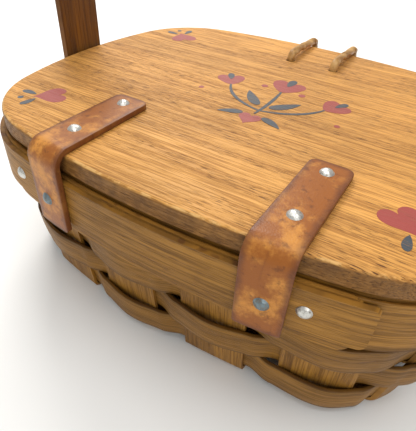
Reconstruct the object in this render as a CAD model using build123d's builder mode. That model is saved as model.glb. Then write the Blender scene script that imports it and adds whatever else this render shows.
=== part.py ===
from build123d import *
from math import asin, atan2, ceil, cos, degrees, hypot, pi, radians, sin
import os

os.makedirs("parts", exist_ok=True)

# Picnic basket with a hinged oak lid, millimetres.
# +X runs along the length, +Y to the hinge side, +Z up.
# The origin is at the middle of the base, on the surface that the basket stands on.

# Lid plan: four shallow arcs joined by round corners
lid_length = 344.0
lid_depth = 275.0
side_bow = 21.0
end_bow = 21.5
corner_radius = 72.0
lid_thickness = 13.0
lid_top_round = 2.5
lid_bottom_edge = 1.5
lid_rest_gap = 0.3

# Wall
wall_height = 116.7
wall_taper = 9.0
bottom_bend = 6.0

# Splints; the end rooms are from the middle of the outermost stake to the lid's edge
cross_stake_gap = 22.0
cross_stake_shift = -6.5
cross_end_room = 76.0
long_stake_gap = 17.0
long_end_room = 55.5
stake_thickness = 2.0
crossing_ease = 3.0
cross_stake_count = 4
long_stake_count = 5
weaver_thickness = 2.4
weaver_width = 22.8
weaver_gap = 0.6
weaver_rows = 3
first_weaver_height = 6.4
over_margin = 3.0
over_bulge = 0.9
weave_step = 6.0
splint_clearance = 0.25

# Hoops, from the outside inwards; the first is how far the hinge band stands past the lid.
# Rooms are distances from the lid's nearest edge.
band_proud = 4.6
band_thickness = 3.0
band_width = 28.5
band_top = 113.5
band_end_room = 52.0
band_start = 54.0
band_corner = 4.0
backing_thickness = 1.6
backing_width = 39.0
backing_top = 115.2
backing_end_room = 58.0
backing_corner = 9.0
rim_hoop_thickness = 2.2
rim_hoop_width = 31.5
rim_hoop_top = 114.0
top_row_thickness = 2.1
top_row_top = 116.4
inner_hoop_thickness = 3.5
inner_hoop_width = 28.0
layer_gap = 0.1
hoop_edge = 0.6

# Leather straps and rivets
strap_room = 102.2
strap_width = 25.4
strap_thickness = 4.0
strap_reach = 77.8
strap_drop = 79.0
strap_bend = 6.0
strap_corner = 6.0
strap_rivet_rooms = (66.7, 23.5)
rivet_head_radius = 4.1
rivet_head_height = 2.2
rivet_radius = 1.6
rivet_clearance = 0.1
drill_depth = 40.0
strap_drill_depth = 12.0
burr_radius = 3.4
burr_thickness = 1.2
band_rivet_rooms = (83.0, 68.0)

# Handle
handle_width = 39.0
handle_thickness = 4.5
handle_side_gap = 2.6
handle_inside_top = 382.0
handle_corner = 110.0
handle_edge_round = 1.0
pivot_height = 99.0
pivot_radius = 2.5
pivot_clearance = 0.05
pivot_head_radius = 6.5
pivot_head_height = 2.6
washer_radius = 9.0
moving_gap = 0.3

# Lace closure
lace_width = 6.0
lace_thickness = 3.6
lace_spacing = 38.0
lace_hole_room = 50.1
lace_hole_clearance = 0.1
lace_bend = 6.0
lace_rise = 5.6
lace_reach = 9.5
lace_tail = 6.0
knot_radius = 6.0
loop_top = 124.0
loop_bottom = 76.0
peg_height = 95.0
peg_head_radius = 8.0
peg_head_thickness = 3.0
peg_groove = 3.8
peg_stem_radius = 4.2
peg_tenon_radius = 3.6

# Worked-out widths, places and levels
cross_stake_pitch = (lid_length - 2 * cross_end_room) / (cross_stake_count - 1)
cross_stake_width = cross_stake_pitch - cross_stake_gap
long_stake_pitch = (lid_depth - 2 * long_end_room) / (long_stake_count - 1)
long_stake_width = long_stake_pitch - long_stake_gap
upright_from = first_weaver_height + weaver_rows * (weaver_width + weaver_gap)
lid_bottom = wall_height + lid_rest_gap
lid_top = lid_bottom + lid_thickness
backing_outer = band_proud - band_thickness - layer_gap
rim_hoop_outer = backing_outer - backing_thickness - layer_gap
top_row_outer = rim_hoop_outer - rim_hoop_thickness - layer_gap
stake_outer = top_row_outer - top_row_thickness - layer_gap
inner_hoop_outer = stake_outer - stake_thickness - layer_gap
stake_middle = stake_outer - stake_thickness / 2
band_end = band_end_room - lid_length / 2
backing_end = backing_end_room - lid_length / 2
strap_end = lid_depth / 2 - strap_reach
strap_rivet_rows = [lid_depth / 2 - room for room in strap_rivet_rooms]
band_rivet_places = (band_rivet_rooms[0] - lid_length / 2, lid_length / 2 - band_rivet_rooms[1])
lace_hole_place = lace_hole_room - lid_depth / 2
rim_depth = band_proud - inner_hoop_outer + inner_hoop_thickness


def plan_arcs():
    """Centre, radius, start angle and sweep of each arc, from the middle of the hinge side."""
    half_length, half_depth = lid_length / 2, lid_depth / 2
    reach_x, reach_y = half_length - end_bow, half_depth - side_bow
    side_radius = (reach_x**2 + side_bow**2) / (2 * side_bow)
    end_radius = (reach_y**2 + end_bow**2) / (2 * end_bow)
    side_centre = half_depth - side_radius
    end_centre = half_length - end_radius
    to_side, to_end = side_radius - corner_radius, end_radius - corner_radius
    apart = hypot(end_centre, side_centre)
    along = (to_side**2 - to_end**2 + apart**2) / (2 * apart)
    across = (to_side**2 - along**2) ** 0.5
    ux, uy = end_centre / apart, -side_centre / apart
    corner_x = along * ux + across * uy
    corner_y = side_centre + along * uy - across * ux
    end_angle = degrees(atan2(corner_y, corner_x - end_centre))
    side_angle = degrees(atan2(corner_y - side_centre, corner_x))
    arcs = []
    for turn, flip in ((0, 1), (180, -1)):
        half_side = 90 - side_angle
        corner_turn = side_angle - end_angle
        arcs.append(((0, flip * side_centre), side_radius, turn + 90, half_side))
        arcs.append(((-flip * corner_x, flip * corner_y), corner_radius, turn + 180 - side_angle,
                     corner_turn))
        arcs.append(((-flip * end_centre, 0), end_radius, turn + 180 - end_angle, 2 * end_angle))
        arcs.append(((-flip * corner_x, -flip * corner_y), corner_radius, turn + 180 + end_angle,
                     corner_turn))
        arcs.append(((0, -flip * side_centre), side_radius, turn + 270 - half_side, half_side))
    return arcs


plan = plan_arcs()
plan_length = sum(radius * radians(sweep) for _, radius, _, sweep in plan)


def outline(stand_off):
    """The face bounded by the lid outline moved outwards by stand_off."""
    with BuildSketch(Plane.XY) as shape:
        with BuildLine():
            for centre, radius, start, sweep in plan:
                CenterArc(centre, radius + stand_off, start, sweep)
        make_face()
    return shape.sketch


def wall_point(distance, stand_off):
    """The point of the outline at a distance along it, and the direction of its outward normal."""
    left = distance % plan_length
    for centre, radius, start, sweep in plan:
        length = radius * radians(sweep)
        if left <= length:
            angle = radians(start) + left / radius
            reach = radius + stand_off
            return centre[0] + reach * cos(angle), centre[1] + reach * sin(angle), angle
        left -= length
    return wall_point(0, stand_off)


def stake_span(place, width, along_y, side, stand_off):
    """Distances along the outline to the two edges of a stake, on one side of the basket."""
    covered = []
    for distance in range(ceil(plan_length)):
        x, y, _ = wall_point(distance, stand_off)
        across, outwards, least = (x, y, lid_depth / 4) if along_y else (y, x, lid_length / 4)
        if outwards * side > least and abs(across - place) <= width / 2:
            covered.append(distance)
    return min(covered) - over_margin, max(covered) + over_margin


def wall_plane(place, height, stand_off):
    """A plane on the hinge side at x = place, facing outwards."""
    side = plan[0]
    angle = radians(90) - asin(place / side[1])
    reach = side[1] + stand_off
    origin = (side[0][0] + reach * cos(angle), side[0][1] + reach * sin(angle), height)
    return Plane(origin=origin, x_dir=(-sin(angle), cos(angle), 0), z_dir=(cos(angle), sin(angle), 0))


def hoop(outer, thickness, bottom, height):
    """A closed upright hoop."""
    with BuildPart() as ring:
        with BuildSketch(Plane.XY.offset(bottom)):
            add(outline(outer))
        extrude(amount=height)
        with BuildSketch(Plane.XY.offset(bottom)):
            add(outline(outer - thickness))
        extrude(amount=height, mode=Mode.SUBTRACT)
    return ring.part


def drills(planes, radius, depth=drill_depth):
    """Round cutters through each plane's origin along its normal."""
    with BuildPart() as cutters:
        for plane in planes:
            with BuildSketch(plane):
                Circle(radius)
            extrude(amount=depth, both=True)
    return cutters.part


def rivet(grip, head_radius, head_height, radius):
    """A rivet along Z: domed head above the origin, shank below, burr under the grip."""
    dome = (head_radius**2 + head_height**2) / (2 * head_height)
    with BuildPart() as made:
        with BuildSketch(Plane.XZ) as profile:
            with BuildLine():
                Line((0, head_height), (0, -grip - burr_thickness))
                Line((0, -grip - burr_thickness), (burr_radius, -grip - burr_thickness))
                Line((burr_radius, -grip - burr_thickness), (burr_radius, -grip))
                Line((burr_radius, -grip), (radius, -grip))
                Line((radius, -grip), (radius, 0))
                Line((radius, 0), (head_radius, 0))
                RadiusArc((head_radius, 0), (0, head_height), -dome)
            make_face()
        revolve(axis=Axis.Z)
    return made.part


def save(made, label):
    made.label = label
    export_step(made, f"parts/{label}.step")


# Places of the splints, and of what passes through the rim

def spread(count, pitch, shift=0.0):
    return [(number - (count - 1) / 2) * pitch + shift for number in range(count)]


cross_stakes = spread(cross_stake_count, cross_stake_pitch, cross_stake_shift)
long_stakes = spread(long_stake_count, long_stake_pitch)
strap_places = (strap_room - lid_length / 2, lid_length / 2 - strap_room)
band_grip = rim_depth + 2 * layer_gap
band_holes = [wall_plane(place, band_top - band_width / 2, band_proud) for place in band_rivet_places]
strap_holes = [wall_plane(place, band_top - band_width / 2, band_proud) for place in strap_places]
rim_holes = band_holes + strap_holes
pivot_holes = [Plane(origin=(side * lid_length / 2, 0, pivot_height), z_dir=(side, 0, 0))
               for side in (-1, 1)]
peg_hole = Plane(origin=(0, -lid_depth / 2 - rim_hoop_outer, peg_height), z_dir=(0, -1, 0))


rivet_drills = drills(rim_holes, rivet_radius + rivet_clearance)
strap_drills = drills(strap_holes, rivet_radius + rivet_clearance, strap_drill_depth)
with BuildPart() as rim_drills:
    add(rivet_drills)
    add(drills(pivot_holes, pivot_radius + rivet_clearance))
    add(drills([peg_hole], peg_tenon_radius + rivet_clearance))

# Stakes: strips of one bent form, wavy where they cross in the base

def basket_form(skin, floor):
    """The basket's solid form inside the stakes' face at this distance from their middle."""
    with BuildPart() as form:
        with BuildSketch(Plane.XY.offset(floor)):
            add(outline(stake_middle + skin - wall_taper))
        with BuildSketch(Plane.XY.offset(upright_from)):
            add(outline(stake_middle + skin))
        loft()
        fillet(form.faces().sort_by(Axis.Z)[0].edges(), bottom_bend + skin)
        with BuildSketch(Plane.XY.offset(upright_from)):
            add(outline(stake_middle + skin))
        extrude(amount=top_row_top - layer_gap - upright_from)
    return form.part


outer_form = basket_form(stake_thickness / 2, 0)
inner_form = basket_form(-stake_thickness / 2, stake_thickness)
with BuildPart() as stake_shell:
    add(outer_form)
    add(inner_form, mode=Mode.SUBTRACT)


def stake(place, width, crossed, crossed_width, goes_over, along_y):
    """One stake: up one wall, through the base over and under the crossed stakes, and up the other wall."""
    raised = stake_thickness + splint_clearance
    reach = crossed_width / 2 + crossing_ease
    flat_run = max(abs(other) for other in crossed) + reach + splint_clearance
    underside = [(-flat_run, 0)]
    for number, other in enumerate(crossed):
        if goes_over(number):
            underside += [(other - reach, 0), (other - reach + crossing_ease / 2, raised),
                          (other + reach - crossing_ease / 2, raised), (other + reach, 0)]
    underside.append((flat_run, 0))
    topside = [(run, height + stake_thickness) for run, height in reversed(underside)]
    run_dir = (0, 1, 0) if along_y else (1, 0, 0)
    origin = (place, 0, 0) if along_y else (0, place, 0)
    profile_plane = Plane(origin=origin, x_dir=run_dir, z_dir=(1, 0, 0) if along_y else (0, -1, 0))
    strip_plane = Plane(origin=origin, x_dir=run_dir, z_dir=(0, 0, 1))
    with BuildPart() as strip:
        add(stake_shell.part)
        with BuildSketch(strip_plane):
            Rectangle(2 * lid_length, width)
        extrude(amount=wall_height, mode=Mode.INTERSECT)
        with BuildSketch(strip_plane):
            Rectangle(2 * flat_run - splint_clearance, 2 * width)
        extrude(amount=stake_thickness, mode=Mode.SUBTRACT)
        with BuildSketch(profile_plane):
            with BuildLine():
                Polyline(*underside, *topside, close=True)
            make_face()
        extrude(amount=width / 2, both=True)
        add(rim_drills.part, mode=Mode.SUBTRACT)
    return strip.part


for number, place in enumerate(cross_stakes):
    made = stake(place, cross_stake_width, long_stakes, long_stake_width,
                 lambda other, own=number: (own + other) % 2 == 0, True)
    save(made, f"cross_stake_{number + 1}")
for number, place in enumerate(long_stakes):
    made = stake(place, long_stake_width, cross_stakes, cross_stake_width,
                 lambda other, own=number: (own + other) % 2 == 1, False)
    save(made, f"long_stake_{number + 1}")

# Weavers: closed ribbons that go over one stake and under the next, turn about in each row

def stake_spans(stand_off):
    """Where the stakes start and end along the outline, in order along it."""
    spans = [stake_span(place, cross_stake_width, True, side, stand_off)
             for place in cross_stakes for side in (-1, 1)]
    spans += [stake_span(place, long_stake_width, False, side, stand_off)
              for place in long_stakes for side in (-1, 1)]
    return sorted(spans)


def weave_level(distance, spans):
    """+1 over a stake, -1 under the next, with an easy turn in the gap between them."""
    laps = spans + [(spans[0][0] + plan_length, spans[0][1] + plan_length)]
    place = distance if distance >= laps[0][0] else distance + plan_length
    for number, (now, following) in enumerate(zip(laps, laps[1:])):
        if now[0] <= place <= following[0]:
            level = 1 if number % 2 == 0 else -1
            share = max(0.0, (place - now[1]) / (following[0] - now[1]))
            return level * cos(pi * share)
    return 1.0


def ribbon(row, face_side):
    """One face of a weaver row: its plan points at the row's bottom and top."""
    count = ceil(plan_length / weave_step)
    bottom = first_weaver_height + row * (weaver_width + weaver_gap)
    turn_about = -1 if row % 2 == 0 else 1
    reach = (stake_thickness + weaver_thickness) / 2 + splint_clearance
    rings = []
    for height in (bottom, bottom + weaver_width):
        middle = stake_middle - wall_taper * (1 - height / upright_from)
        spans = stake_spans(middle)
        ring = []
        for number in range(count):
            distance = number * plan_length / count
            level = turn_about * weave_level(distance, spans)
            swell = over_bulge * max(0.0, level)
            x, y, _ = wall_point(distance, middle + level * reach + swell + face_side * weaver_thickness / 2)
            ring.append((x, y, height))
        rings.append(ring)
    return rings


def ribbon_solid(rings):
    with BuildPart() as block:
        for ring in rings:
            with BuildSketch(Plane.XY.offset(ring[0][2])):
                with BuildLine():
                    Polyline(*[(x, y) for x, y, _ in ring], close=True)
                make_face()
        loft(ruled=True)
    return block.part


for row in range(weaver_rows):
    with BuildPart() as weaver:
        add(ribbon_solid(ribbon(row, 1)))
        add(ribbon_solid(ribbon(row, -1)), mode=Mode.SUBTRACT)
    save(weaver.part, f"weaver_row_{row + 1}")

# Hoops of the rim

with BuildPart() as top_row:
    add(hoop(top_row_outer, top_row_thickness, upright_from, top_row_top - upright_from))
    add(rim_drills.part, mode=Mode.SUBTRACT)
save(top_row.part, "top_row")

with BuildPart() as inner_hoop:
    add(hoop(inner_hoop_outer, inner_hoop_thickness, top_row_top - inner_hoop_width, inner_hoop_width))
    chamfer(inner_hoop.faces().sort_by(Axis.Z)[-1].edges(), hoop_edge)
    add(rim_drills.part, mode=Mode.SUBTRACT)
save(inner_hoop.part, "inner_hoop")

with BuildPart() as rim_hoop:
    add(hoop(rim_hoop_outer, rim_hoop_thickness, rim_hoop_top - rim_hoop_width, rim_hoop_width))
    chamfer(rim_hoop.faces().sort_by(Axis.Z)[-1].edges(), hoop_edge)
    add(rim_drills.part, mode=Mode.SUBTRACT)
save(rim_hoop.part, "rim_hoop")


def back_strip(outer, thickness, top, width, end, start, corner):
    """A strip bent across the back and round one corner, its visible end with rounded corners."""
    with BuildPart() as strip:
        add(hoop(outer, thickness, top - width, width))
        with BuildSketch(Plane.XZ.offset(-start)) as kept:
            with Locations(((end + lid_length) / 2, top - width / 2)):
                Rectangle(lid_length - end, width)
            fillet(kept.vertices().group_by(Axis.X)[0], corner)
        extrude(amount=-lid_depth, mode=Mode.INTERSECT)
        add(rivet_drills, mode=Mode.SUBTRACT)
    return strip.part


save(back_strip(backing_outer, backing_thickness, backing_top, backing_width, backing_end,
                band_start, backing_corner), "hinge_backing")
save(back_strip(band_proud, band_thickness, band_top, band_width, band_end,
                band_start, band_corner), "hinge_band")

# Lid

lid_rivet_places = [(place, row) for place in strap_places for row in strap_rivet_rows]
lace_places = [(side * lace_spacing / 2, lace_hole_place) for side in (-1, 1)]
lace_hole_radius = hypot(lace_width, lace_thickness) / 2 + lace_hole_clearance
with BuildPart() as lid:
    with BuildSketch(Plane.XY.offset(lid_bottom)):
        add(outline(0))
    extrude(amount=lid_thickness)
    fillet(lid.faces().sort_by(Axis.Z)[-1].edges(), lid_top_round)
    chamfer(lid.faces().sort_by(Axis.Z)[0].edges(), lid_bottom_edge)
    with Locations(*[(x, y, lid_top) for x, y in lid_rivet_places]):
        Hole(rivet_radius + rivet_clearance, depth=lid_thickness)
    with Locations(*[(x, y, lid_top) for x, y in lace_places]):
        Hole(lace_hole_radius, depth=lid_thickness)
save(lid.part, "lid")

# Leather straps, over the lid's back edge and down the hinge band

strap_inner = band_proud + layer_gap
strap_under = lid_top + layer_gap
for name, place in (("right_strap", strap_places[0]), ("left_strap", strap_places[1])):
    with BuildPart() as strap:
        with BuildSketch(Plane.XY.offset(strap_drop)):
            add(outline(strap_inner + strap_thickness))
            with Locations((place, (strap_end + lid_depth) / 2)):
                Rectangle(strap_width, lid_depth - strap_end, mode=Mode.INTERSECT)
        extrude(amount=strap_under + strap_thickness - strap_drop)
        bend_edge = strap.faces().sort_by(Axis.Z)[-1].edges().sort_by(Axis.Y)[-1]
        fillet(bend_edge, strap_bend)
        with BuildSketch(Plane.XY.offset(strap_drop)):
            add(outline(strap_inner))
        extrude(amount=strap_under - strap_drop, mode=Mode.SUBTRACT)
        fillet(strap.edges().filter_by(Axis.Z).group_by(Axis.Y)[0], strap_corner)
        with Locations(*[(place, row, strap_under + strap_thickness) for row in strap_rivet_rows]):
            Hole(rivet_radius + rivet_clearance, depth=strap_thickness)
        add(strap_drills, mode=Mode.SUBTRACT)
    save(strap.part, name)

# Rivets

lid_grip = strap_thickness + lid_thickness + 3 * layer_gap
with BuildPart() as lid_rivets:
    for x, y in lid_rivet_places:
        head = Location((x, y, strap_under + strap_thickness + layer_gap))
        add(rivet(lid_grip, rivet_head_radius, rivet_head_height, rivet_radius).moved(head))
save(lid_rivets.part, "lid_rivets")

with BuildPart() as strap_rivets:
    for plane in strap_holes:
        head = plane.offset(strap_thickness + 2 * layer_gap).location
        add(rivet(band_grip + strap_thickness + layer_gap, rivet_head_radius, rivet_head_height,
                  rivet_radius).moved(head))
save(strap_rivets.part, "strap_rivets")

with BuildPart() as band_rivets:
    for plane in band_holes:
        add(rivet(band_grip, rivet_head_radius, rivet_head_height, rivet_radius)
            .moved(plane.offset(layer_gap).location))
save(band_rivets.part, "band_rivets")

# Handle: one bent strip, turning on a rivet at each end of the basket

handle_inside = lid_length / 2 + handle_side_gap
handle_outside = handle_inside + handle_thickness
leg_foot = pivot_height - handle_width / 2
with BuildPart() as handle:
    with BuildSketch(Plane.XZ):
        with BuildLine():
            FilletPolyline((-handle_outside, leg_foot), (-handle_outside, handle_inside_top + handle_thickness),
                           (handle_outside, handle_inside_top + handle_thickness), (handle_outside, leg_foot),
                           radius=handle_corner + handle_thickness)
            Line((handle_outside, leg_foot), (handle_inside, leg_foot))
            FilletPolyline((handle_inside, leg_foot), (handle_inside, handle_inside_top),
                           (-handle_inside, handle_inside_top), (-handle_inside, leg_foot),
                           radius=handle_corner)
            Line((-handle_inside, leg_foot), (-handle_outside, leg_foot))
        make_face()
    extrude(amount=handle_width / 2, both=True)
    foot_edges = handle.edges().filter_by(Axis.X).group_by(Axis.Z)[0]
    fillet(foot_edges, handle_width / 2 - handle_edge_round)
    add(drills(pivot_holes, pivot_radius + pivot_clearance), mode=Mode.SUBTRACT)
save(handle.part, "handle")

washer_thickness = handle_side_gap - rim_hoop_outer - moving_gap
with BuildPart() as handle_washers:
    for plane in pivot_holes:
        with BuildSketch(plane.offset(rim_hoop_outer)):
            Circle(washer_radius)
            Circle(pivot_radius + rivet_clearance, mode=Mode.SUBTRACT)
        extrude(amount=washer_thickness)
save(handle_washers.part, "handle_washers")

with BuildPart() as handle_rivets:
    for plane in pivot_holes:
        head = plane.offset(handle_side_gap + handle_thickness + moving_gap).location
        grip = handle_side_gap + handle_thickness + moving_gap - inner_hoop_outer + inner_hoop_thickness
        add(rivet(grip + layer_gap, pivot_head_radius, pivot_head_height, pivot_radius).moved(head))
save(handle_rivets.part, "handle_rivets")

# Lace: up through the lid, along it and over the front edge; the loop hangs from there

loop_plane = -(lid_depth / 2 + lace_reach)
lace_level = lid_top + moving_gap + lace_thickness / 2
for name, (x, y) in zip(("lace_right", "lace_left"), lace_places):
    with BuildPart() as lace:
        with BuildLine(Plane.YZ.offset(x)) as route:
            FilletPolyline((y, lid_bottom - lace_tail), (y, lid_top + lace_rise), (loop_plane, lace_level),
                           (loop_plane, loop_top + lace_thickness / 2 + moving_gap), radius=lace_bend)
        with BuildSketch(Plane(origin=(x, y, lid_bottom - lace_tail), z_dir=(0, 0, 1))):
            Rectangle(lace_width, lace_thickness)
        sweep()
        with Locations((x, y, lid_bottom - lace_tail)):
            Sphere(knot_radius - layer_gap)
    save(lace.part, name)

# The loop's legs hang beside the laces, so it can swing up past them on its round knuckles
loop_leg = lace_spacing / 2 - lace_width - 2 * moving_gap
loop_turn = loop_bottom + loop_leg
knuckle_length = (lace_spacing + lace_width) / 2 - (loop_leg - lace_width / 2)
knuckle_middle = loop_leg + (knuckle_length - lace_width) / 2
with BuildPart() as closure_loop:
    with BuildLine(Plane.XZ.offset(-loop_plane)) as route:
        Line((-loop_leg, loop_top), (-loop_leg, loop_turn))
        ThreePointArc((-loop_leg, loop_turn), (0, loop_bottom), (loop_leg, loop_turn))
        Line((loop_leg, loop_turn), (loop_leg, loop_top))
    with BuildSketch(Plane(origin=(-loop_leg, loop_plane, loop_top), z_dir=(0, 0, -1))):
        Rectangle(lace_width, lace_thickness)
    sweep()
    with Locations(*[Location((side * knuckle_middle, loop_plane, loop_top), (0, 90, 0)) for side in (-1, 1)]):
        Cylinder(lace_thickness / 2, knuckle_length)
save(closure_loop.part, "closure_loop")

peg_inside = rim_hoop_outer - inner_hoop_outer + inner_hoop_thickness
with BuildPart() as closure_peg:
    with BuildSketch(peg_hole):
        Circle(peg_stem_radius)
    extrude(amount=peg_groove)
    with BuildSketch(peg_hole.offset(peg_groove)):
        Circle(peg_head_radius)
    extrude(amount=peg_head_thickness)
    chamfer(closure_peg.faces().sort_by(Axis.Y)[0].edges(), peg_head_thickness / 3)
    with BuildSketch(peg_hole):
        Circle(peg_tenon_radius)
    extrude(amount=-peg_inside - layer_gap)
save(closure_peg.part, "closure_peg")
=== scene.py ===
import bpy
import bmesh
import math
from mathutils import Matrix, Vector


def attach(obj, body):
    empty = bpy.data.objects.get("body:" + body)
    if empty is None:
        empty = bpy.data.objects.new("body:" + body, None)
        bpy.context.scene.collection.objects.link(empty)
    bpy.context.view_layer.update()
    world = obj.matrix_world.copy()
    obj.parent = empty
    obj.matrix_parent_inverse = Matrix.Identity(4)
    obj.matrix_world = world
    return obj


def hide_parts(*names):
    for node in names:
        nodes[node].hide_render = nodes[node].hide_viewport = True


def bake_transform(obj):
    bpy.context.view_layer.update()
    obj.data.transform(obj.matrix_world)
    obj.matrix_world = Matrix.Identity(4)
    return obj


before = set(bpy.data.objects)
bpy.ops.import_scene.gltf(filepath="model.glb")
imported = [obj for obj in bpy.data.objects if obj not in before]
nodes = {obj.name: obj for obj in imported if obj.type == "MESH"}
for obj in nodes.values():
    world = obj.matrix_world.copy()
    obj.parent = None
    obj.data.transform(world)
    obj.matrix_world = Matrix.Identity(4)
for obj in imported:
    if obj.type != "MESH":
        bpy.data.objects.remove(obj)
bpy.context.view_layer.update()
print("frame loaded:", len(nodes), "nodes")

mm = 0.001  # lengths and places on the basket, and the camera's place, are in millimetres
lidPlan = {"length": 344.0, "depth": 275.0, "sideBow": 21.0, "endBow": 21.5, "cornerRadius": 72.0}


def clearSelection():
    bpy.ops.object.select_all(action="DESELECT")


clearSelection()

# The lid's outline: shallow arcs joined by round corners, from the middle of the hinge side

def planArcs():
    halfLength, halfDepth = lidPlan["length"] / 2, lidPlan["depth"] / 2
    reachX, reachY = halfLength - lidPlan["endBow"], halfDepth - lidPlan["sideBow"]
    corner = lidPlan["cornerRadius"]
    sideRadius = (reachX ** 2 + lidPlan["sideBow"] ** 2) / (2 * lidPlan["sideBow"])
    endRadius = (reachY ** 2 + lidPlan["endBow"] ** 2) / (2 * lidPlan["endBow"])
    sideCentre, endCentre = halfDepth - sideRadius, halfLength - endRadius
    toSide, toEnd = sideRadius - corner, endRadius - corner
    apart = math.hypot(endCentre, sideCentre)
    along = (toSide ** 2 - toEnd ** 2 + apart ** 2) / (2 * apart)
    across = math.sqrt(toSide ** 2 - along ** 2)
    ux, uy = endCentre / apart, -sideCentre / apart
    cornerX = along * ux + across * uy
    cornerY = sideCentre + along * uy - across * ux
    endAngle = math.atan2(cornerY, cornerX - endCentre)
    sideAngle = math.atan2(cornerY - sideCentre, cornerX)
    half, turnCorner, quarter = math.pi / 2 - sideAngle, sideAngle - endAngle, math.pi / 2
    arcs = []
    for turn, flip in ((0.0, 1), (math.pi, -1)):
        arcs.append((0, flip * sideCentre, sideRadius, turn + quarter, half))
        arcs.append((-flip * cornerX, flip * cornerY, corner, turn + math.pi - sideAngle, turnCorner))
        arcs.append((-flip * endCentre, 0, endRadius, turn + math.pi - endAngle, 2 * endAngle))
        arcs.append((-flip * cornerX, -flip * cornerY, corner, turn + math.pi + endAngle, turnCorner))
        arcs.append((0, -flip * sideCentre, sideRadius, turn + 3 * quarter - half, half))
    return arcs


arcs = planArcs()
planLength = sum(radius * sweep for _, _, radius, _, sweep in arcs)


def wallPoint(distance, standOff):
    # A place at this distance along the lid's outline, stood off from it
    left = distance % planLength
    for cx, cy, radius, start, sweep in arcs:
        if left <= radius * sweep:
            angle = start + left / radius
            return cx + (radius + standOff) * math.cos(angle), cy + (radius + standOff) * math.sin(angle)
        left -= radius * sweep
    return wallPoint(0, standOff)


# Camera, found from the lid's outline, the straps and their rivets

cameraSettings = {"place": (-112.26, 268.08, 257.13), "yaw": 29.878, "pitch": 39.211, "roll": -3.292,
                  "focalPixels": 428.89, "imageWidth": 416, "sensorWidth": 36, "clipStart": 0.005}


def addCamera():
    s = cameraSettings
    yaw, pitch, roll = (math.radians(s[label]) for label in ("yaw", "pitch", "roll"))
    look = Vector((math.sin(yaw) * math.cos(pitch), -math.cos(yaw) * math.cos(pitch), -math.sin(pitch)))
    right = Vector((-math.cos(yaw), -math.sin(yaw), 0))
    down = look.cross(right)
    right, down = (math.cos(roll) * right + math.sin(roll) * down,
                   -math.sin(roll) * right + math.cos(roll) * down)
    data = bpy.data.cameras.new("camera")
    data.sensor_fit = "HORIZONTAL"
    data.sensor_width = s["sensorWidth"]
    data.lens = s["focalPixels"] / s["imageWidth"] * s["sensorWidth"]
    data.clip_start = s["clipStart"]
    camera = bpy.data.objects.new("camera", data)
    bpy.context.collection.objects.link(camera)
    turn = Matrix((right, -down, -look)).transposed().to_4x4()
    camera.matrix_world = Matrix.Translation(Vector(s["place"]) * mm) @ turn
    bpy.context.scene.camera = camera


addCamera()
print("camera placed")

# Room: a flat pale floor just under the base, three soft lights and an even sky, in metres and watts

roomSettings = {"floorSize": 8.0, "floorLevel": -0.0006, "floorColor": (0.86, 0.86, 0.85, 1),
                "floorRoughness": 0.6, "worldColor": (1.0, 1.0, 0.985, 1), "worldStrength": 0.6,
                "lightsAimAt": (0, 0, 0.1)}
lightSettings = {
    "windowLight": {"place": (0.9, -0.9, 1.5), "size": (0.9, 0.7), "watts": 24, "color": (1.0, 0.985, 0.95)},
    "frontLight": {"place": (-1.2, 1.4, 1.2), "size": (1.0, 0.8), "watts": 7, "color": (1.0, 0.99, 0.97)},
    "topLight": {"place": (-0.2, 0.1, 1.9), "size": (1.2, 1.2), "watts": 14, "color": (1.0, 0.995, 0.98)},
}


def addFloor():
    level = roomSettings["floorLevel"]
    bpy.ops.mesh.primitive_plane_add(size=roomSettings["floorSize"], location=(0, 0, level))
    floor = bpy.context.object
    floor.name = "floor"
    bpy.ops.object.transform_apply(location=True, rotation=True, scale=True)
    material = bpy.data.materials.new("paleFloor")
    material.use_nodes = True
    shader = material.node_tree.nodes["Principled BSDF"]
    shader.inputs["Base Color"].default_value = roomSettings["floorColor"]
    shader.inputs["Roughness"].default_value = roomSettings["floorRoughness"]
    floor.data.materials.append(material)
    clearSelection()


def addLight(name, place, size, watts, color):
    data = bpy.data.lights.new(name, "AREA")
    data.shape = "RECTANGLE"
    data.size, data.size_y = size
    data.energy = watts
    data.color = color
    light = bpy.data.objects.new(name, data)
    light.location = place
    toTarget = Vector(roomSettings["lightsAimAt"]) - Vector(place)
    light.rotation_euler = toTarget.to_track_quat("-Z", "Y").to_euler()
    bpy.context.collection.objects.link(light)


def addWorld():
    world = bpy.data.worlds.new("softRoom")
    bpy.context.scene.world = world
    world.use_nodes = True
    background = world.node_tree.nodes["Background"]
    background.inputs["Color"].default_value = roomSettings["worldColor"]
    background.inputs["Strength"].default_value = roomSettings["worldStrength"]
    bpy.context.scene.view_settings.view_transform = "Standard"


addFloor()
for name, settings in lightSettings.items():
    addLight(name, **settings)
addWorld()
print("room and lights ready")

# Helpers for shader trees

def newGroup(name, inputs, outputs):
    group = bpy.data.node_groups.new(name, "ShaderNodeTree")
    for label, kind, value in inputs:
        socket = group.interface.new_socket(name=label, in_out="INPUT", socket_type=kind)
        if value is not None:
            socket.default_value = value
    for label, kind in outputs:
        group.interface.new_socket(name=label, in_out="OUTPUT", socket_type=kind)
    return group, group.nodes.new("NodeGroupInput"), group.nodes.new("NodeGroupOutput")


def mathNode(tree, operation, first, second=None, third=None, clamp=False):
    node = tree.nodes.new("ShaderNodeMath")
    node.operation = operation
    node.use_clamp = clamp
    for index, value in enumerate((first, second, third)):
        if value is None:
            continue
        if isinstance(value, (int, float)):
            node.inputs[index].default_value = value
        else:
            tree.links.new(value, node.inputs[index])
    return node.outputs[0]


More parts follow.
